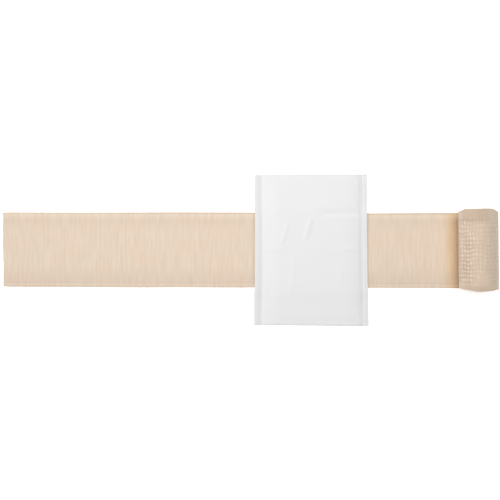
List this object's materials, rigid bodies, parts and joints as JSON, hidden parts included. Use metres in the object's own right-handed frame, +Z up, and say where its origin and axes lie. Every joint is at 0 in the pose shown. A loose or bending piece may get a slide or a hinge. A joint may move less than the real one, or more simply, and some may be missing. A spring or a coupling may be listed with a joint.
{
  "type": "crepe compression bandage with wound dressing pad",
  "caption": "Woven crepe compression bandage laid open and flat, with a padded absorbent dressing fixed across it and the rest of the band wound into a roll.",
  "frame": {"origin": "on the table under the middle of the whole laid-open bandage", "axes": "+X along the band from its free end to its roll, +Y along the dressing pad, +Z up from the table"},
  "size_m": [0.647, 0.2022, 0.0472],
  "materials": {
    "crepe_cotton": "matte woven crepe",
    "fleece_cover": "soft matte fleece"
  },
  "bodies": {
    "root": {"crepe_band": "crepe_cotton", "dressing_pad": "fleece_cover"}
  },
  "joints": []
}
